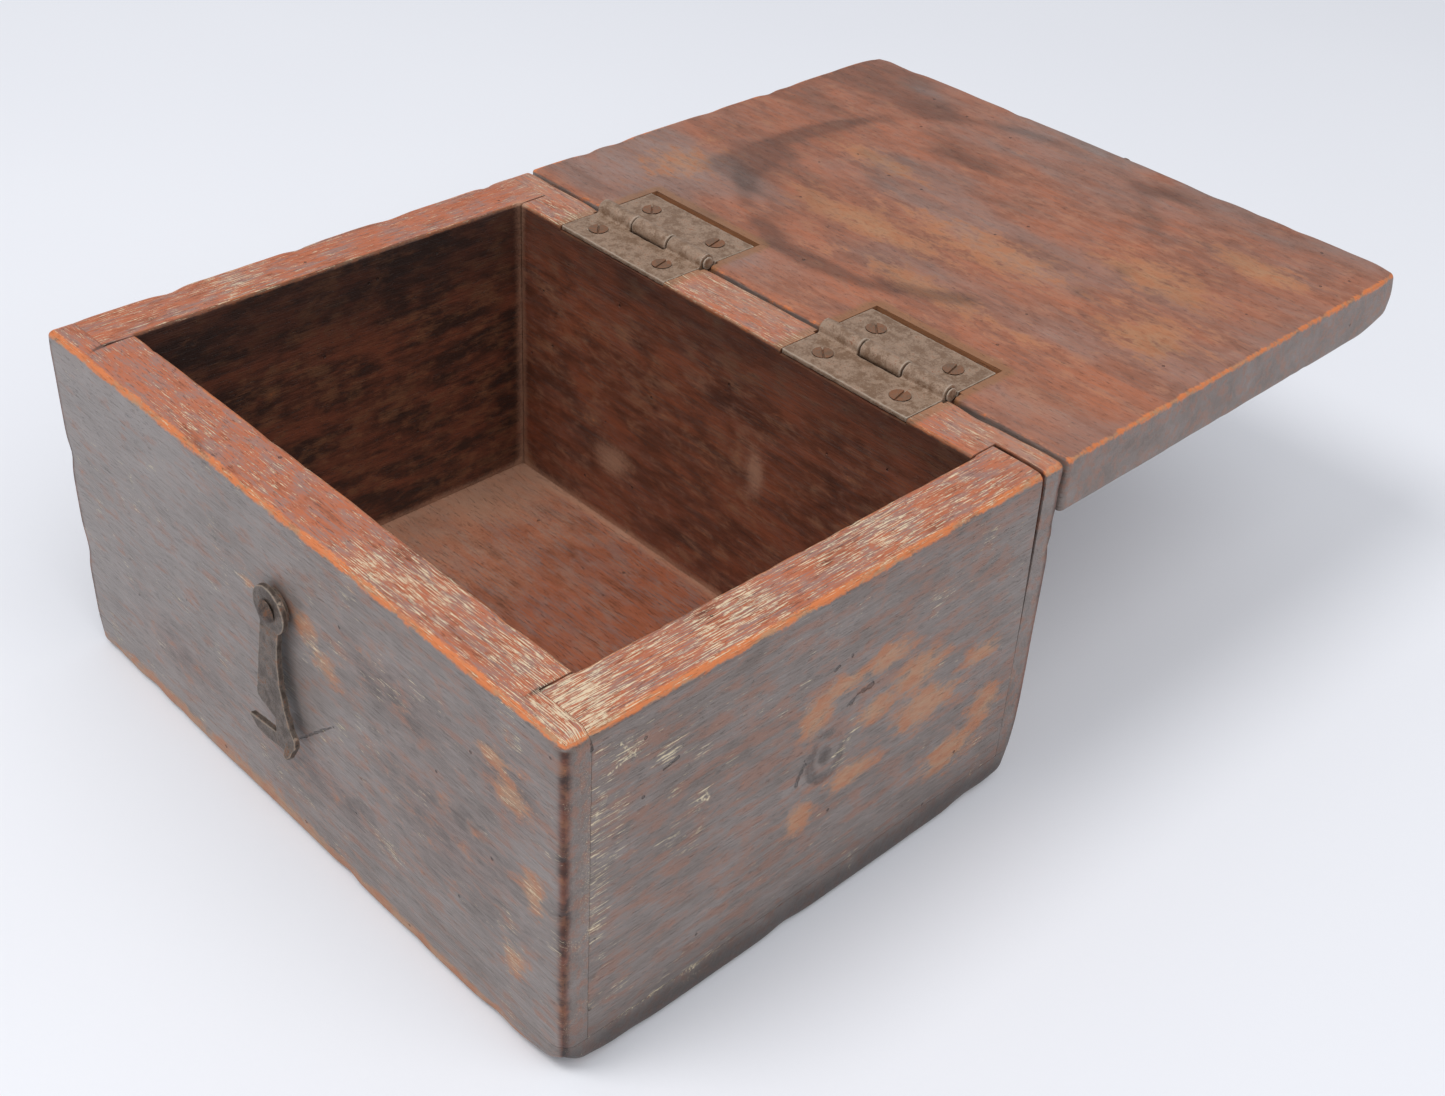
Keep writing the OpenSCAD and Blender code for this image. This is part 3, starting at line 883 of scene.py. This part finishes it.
def worn_arrises(n, t, bare, base):
    """Worn patches, and arrises rubbed bright, over the colour base."""
    worn = n.mix(n.rise(t.patch, 0.4, 0.62), AMBER, COPPER)
    base = n.mix(bare, base, worn)
    rubbed = n.rise(n.add(n.field("edge"), (t.patch, 1.6), (t.speck, 1.0), -1.3), 0.3, 0.8, 0.85)
    return n.mix(rubbed, base, n.mix(n.rise(t.patch, 0.4, 0.56), worn, ORANGE))


def stained(n, t, stain, base):
    """Rust crept from the hinges, dark stains and painted shade, over the colour base."""
    rust = n.rise(n.add(n.field("rust"), (t.patch, 0.8), -0.4), 0.3, 0.8, 0.75)
    base = n.mix(rust, base, RUST_STAIN)
    grime = n.add(n.field("grime"), (t.mottle, 0.5), (t.patch, 0.35), -0.43)
    return n.mix(n.rise(grime, 0.15, 0.8, stain), base, SOOT_AND_SHADE)


def knot_and_slots(n, t):
    """The knot with its ring, the dark slots and lines and a few pin holes."""
    away = n.add(n.distance(n.stretch(t.here, *KNOT_SQUEEZE), KNOT), (t.patch, 4.0), -2.0)
    ring = n.rise(n.math("ABSOLUTE", n.add(away, -4.8), 0.0), 1.6, 0.1)
    slots = n.math("MAXIMUM", n.rise(away, 2.4, 0.2), n.marks(t.here, DARK_MARKS))
    dark = n.math("MAXIMUM", slots, n.math("MULTIPLY", ring, n.rise(t.mottle, 0.4, 0.56, 0.8)))
    holes = n.rise(n.scattered(t.here, 0.12), 0.05, 0.025)
    return n.math("MAXIMUM", dark, holes)


def pale_dirt(n, t):
    """Pale dirt in the grain and in the scores."""
    lines = n.add(t.line, (n.field("cream"), 0.26), (t.speck, 0.2), -0.4)
    score = n.math("MULTIPLY", n.marks(t.here, PALE_MARKS), n.rise(t.speck, 0.42, 0.56, 0.75))
    return n.math("MAXIMUM", n.rise(lines, 0.52, 0.6, 0.8), score)


def wood_material(name, deep, red, tan, stain):
    """Old oiled timber under a smoky film that is partly painted sheen, worn bright and filled with
    pale dirt.
    """
    n = Nodes(name)
    t = Timber(n)
    cover = film_and_sheen_cover(n, t)
    bare = bare_places(n, t)
    dark = knot_and_slots(n, t)
    pale = pale_dirt(n, t)
    base = n.mix(cover, bare_timber(n, t, deep, red, tan), film_and_sheen_colour(n, t))
    base = stained(n, t, stain, worn_arrises(n, t, bare, base))
    base = n.mix(n.math("MULTIPLY", dark, 0.5), base, SOOT_AND_SHADE)
    base = n.mix(pale, base, CREAM)
    dust = n.add(n.field("dust"), (t.speck, 0.4), (t.mottle, 0.6), -0.5)
    base = n.mix(n.rise(dust, 0.1, 1.0, 0.7), base, DUST)
    rough = n.blend(cover, 0.56, n.add(0.28, (t.mottle, 0.3)))
    rough = n.blend(bare, rough, 0.5)
    rough = n.blend(pale, rough, 0.85)
    height = n.add((t.streak, 0.4), (t.fibre, 0.4), (t.pore, -0.5), (t.mottle, 0.7), (pale, 0.15),
                   (dark, -2.4), (t.hair, 0.25), (t.patch, 0.3))
    return n.finish(base, rough, height, 0.25, Specular_IOR_Level=0.5, IOR=1.5)


def iron_material(name, dark, pale, metal, shine):
    """Hand-forged iron: brown skin, pale rubbed metal and pitted rust, with convex edges painted pale,
    partly rubbed and partly painted highlight.
    """
    n = Nodes(name)
    here = n.place()
    coat = n.noise(n.stretch(here, 0.45, 0.45, 0.45), 5, 0.6)
    pit = n.noise(n.stretch(here, 3.0, 3.0, 3.0), 4, 0.65)
    edge = n.rise(n.node("ShaderNodeNewGeometry").outputs["Pointiness"], 0.5, 0.56)
    base = n.mix(n.rise(n.add((coat, 0.6), (pit, 0.4)), 0.42, 0.6), dark, pale)
    rust = n.rise(n.add((coat, 0.5), (pit, 0.5), (edge, 0.1)), 0.53, 0.66, 0.8)
    base = n.mix(rust, base, IRON_RUST)
    base = n.mix(n.rise(pit, 0.36, 0.24, 0.8), base, SOOT_AND_SHADE)
    # Convex edges painted pale by the amount shine: partly rubbed metal, partly painted highlight
    base = n.mix(n.math("MULTIPLY", edge, shine), base, RUBBED_IRON_AND_GLINT)
    rough = n.blend(rust, n.add(0.36, (pit, 0.22)), 0.75)
    height = n.add((coat, 0.8), (pit, 0.5))
    return n.finish(base, rough, height, 0.3, Metallic=metal)


def floor_material():
    """Plain studio paper."""
    n = Nodes("studio_paper")
    soft = n.noise(n.stretch(n.place(), 0.004, 0.004, 0.004), 2)
    base = n.mix(soft, PAPER, PAPER_LIGHT)
    return n.finish(base, 0.9, n.noise(n.stretch(n.place(), 0.8, 0.8, 0.8), 3), 0.02,
                    Specular_IOR_Level=0.0)


BODY_WOOD = wood_material("old_body_wood", DEEP, RED, TAN, 0.7)
LID_WOOD = wood_material("old_lid_wood", colour(120, 80, 62), colour(164, 98, 66),
                         colour(178, 120, 86), 0.5)
HINGE_IRON = iron_material("hinge_iron", colour(122, 94, 72), colour(162, 138, 118), 0.15, 0.6)
SCREW_IRON = iron_material("screw_iron", colour(112, 86, 66), colour(142, 114, 94), 0.2, 0.0)
HOOK_IRON = iron_material("hook_iron", colour(80, 68, 60), colour(116, 106, 98), 0.5, 0.5)
NAIL_IRON = iron_material("nail_iron", colour(58, 44, 38), colour(92, 76, 66), 0.4, 0.25)


# ---------------------------------------------------------------- pieces

def add_board(node, body, slot, material, parts, grain_axis, board, fields):
    start, points, faces = parts
    grain = along_grain(start, grain_axis, board)
    piece = make_piece("worn_" + node, points, faces, fields(start, grain))
    place(piece, node, body, material)


def add_boards():
    body = ("box", "body_wood", BODY_WOOD)
    add_board("front_board", *body, end_board(True), "x", 1, body_fields)
    add_board("back_board", *body, end_board(False), "x", 2, body_fields)
    add_board("right_side_board", *body, side_board(1), "y", 3, body_fields)
    add_board("left_side_board", *body, side_board(-1), "y", 4, body_fields)
    add_board("bottom_board", *body, bottom_board(), "x", 5, body_fields)
    add_board("lid_board", "lid", "lid_wood", LID_WOOD, lid_board(), "x", 6, lid_fields)


def forge(node, body, material, voxel, passes, pitting):
    """A softened, pitted copy of a CAD node's shape, with worn arrises."""
    piece = bpy.data.objects.new("forged_" + node, frame["nodes"][node].data.copy())
    bpy.context.scene.collection.objects.link(piece)
    remesh = piece.modifiers.new("remesh", "REMESH")
    remesh.mode = "VOXEL"
    remesh.voxel_size = voxel / MM
    soften = piece.modifiers.new("soften", "SMOOTH")
    soften.factor = 0.5
    soften.iterations = passes
    ready = piece.evaluated_get(bpy.context.evaluated_depsgraph_get())
    piece.data = bpy.data.meshes.new_from_object(ready)
    piece.modifiers.clear()
    mesh = piece.data
    count = len(mesh.vertices)
    points = np.zeros(count * 3)
    normals = np.zeros(count * 3)
    mesh.vertices.foreach_get("co", points)
    mesh.vertices.foreach_get("normal", normals)
    points = points.reshape(-1, 3) * MM
    depth = pitting * noise(points, 1.6, 90, 3)[:, None]
    points -= normals.reshape(-1, 3) * depth
    mesh.vertices.foreach_set("co", (points / MM).ravel())
    mesh.update()
    mesh.shade_smooth()
    place(piece, node, body, material)


def add_ironwork():
    for side in HINGE_SIDES:
        forge(f"{side}_hinge_body_leaf", "box", HINGE_IRON, 0.28, 3, 0.22)
        forge(f"{side}_hinge_lid_leaf", "lid", HINGE_IRON, 0.28, 3, 0.22)
        forge(f"{side}_hinge_pin", "box", HINGE_IRON, 0.24, 2, 0.05)
        for leaf in ("body", "lid"):
            redress(f"{side}_hinge_{leaf}_screws", SCREW_IRON)
    forge("latch_hook", "hook", HOOK_IRON, 0.2, 4, 0.16)
    forge("latch_washer", "box", HOOK_IRON, 0.18, 2, 0.08)
    forge("latch_pivot_nail", "box", NAIL_IRON, 0.18, 4, 0.2)
    forge("keeper_nail", "lid", NAIL_IRON, 0.18, 4, 0.2)
    redress("bottom_nails", NAIL_IRON)


def redress(node, material):
    """Give a CAD node a better material."""
    slots = frame["nodes"][node].material_slots
    for slot in slots:
        slot.material = material


# ---------------------------------------------------------------- studio

CAMERA_PLACE = (236.54, -191.57, 265.39)
CAMERA_TURN = math.radians(44.12)  # to the left of straight along +y
CAMERA_DIP = math.radians(36.09)
CAMERA_ROLL = math.radians(3.79)
CAMERA_LENS = 45.97
CAMERA_FILM = 36.0


def add_camera():
    camera = bpy.data.cameras.new("camera")
    camera.lens = CAMERA_LENS
    camera.sensor_width = CAMERA_FILM
    camera.clip_start = 0.01
    flat = math.cos(CAMERA_DIP)
    ahead = Vector((-math.sin(CAMERA_TURN) * flat, math.cos(CAMERA_TURN) * flat,
                    -math.sin(CAMERA_DIP)))
    level = ahead.cross(Vector((0, 0, 1))).normalized()
    upright = level.cross(ahead)
    right = level * math.cos(CAMERA_ROLL) + upright * math.sin(CAMERA_ROLL)
    up = right.cross(ahead)
    turn = Matrix((right, up, -ahead)).transposed().to_4x4()
    stand = bpy.data.objects.new("camera", camera)
    stand.matrix_world = Matrix.Translation(Vector(CAMERA_PLACE) / MM) @ turn
    bpy.context.scene.collection.objects.link(stand)
    bpy.context.scene.camera = stand


def add_floor():
    half = 4.0
    mesh = bpy.data.meshes.new("studio_floor")
    ring = [(half * math.cos(a), half * math.sin(a), 0) for a in np.linspace(0, math.tau, 65)[:-1]]
    mesh.from_pydata(ring, [], [list(range(len(ring)))])
    mesh.materials.append(floor_material())
    floor = bpy.data.objects.new("studio_floor", mesh)
    bpy.context.scene.collection.objects.link(floor)


def add_light(name, spot, target, size, power, tint):
    light = bpy.data.lights.new(name, "AREA")
    light.shape = "DISK"
    light.size = size
    light.energy = power
    light.color = tint
    lamp = bpy.data.objects.new(name, light)
    aim = Vector(spot) - Vector(target)
    lamp.matrix_world = Matrix.Translation(spot) @ aim.to_track_quat("Z", "Y").to_matrix().to_4x4()
    bpy.context.scene.collection.objects.link(lamp)


def add_sky():
    world = bpy.data.worlds.new("studio_sky")
    world.use_nodes = True
    sky = world.node_tree.nodes["Background"]
    sky.inputs["Color"].default_value = (0.945, 0.96, 1.0, 1.0)
    sky.inputs["Strength"].default_value = 0.52
    bpy.context.scene.world = world
    bpy.context.scene.view_settings.view_transform = "Standard"


add_camera()
add_floor()
add_sky()
add_light("key", (-0.22, -0.70, 1.35), (0, 0.06, 0), 0.6, 9.3, (1.0, 0.99, 0.98))
add_light("fill", (0.95, -0.1, 1.25), (0, 0.06, 0), 1.5, 9.4, (1.0, 1.0, 1.0))
add_boards()
add_ironwork()
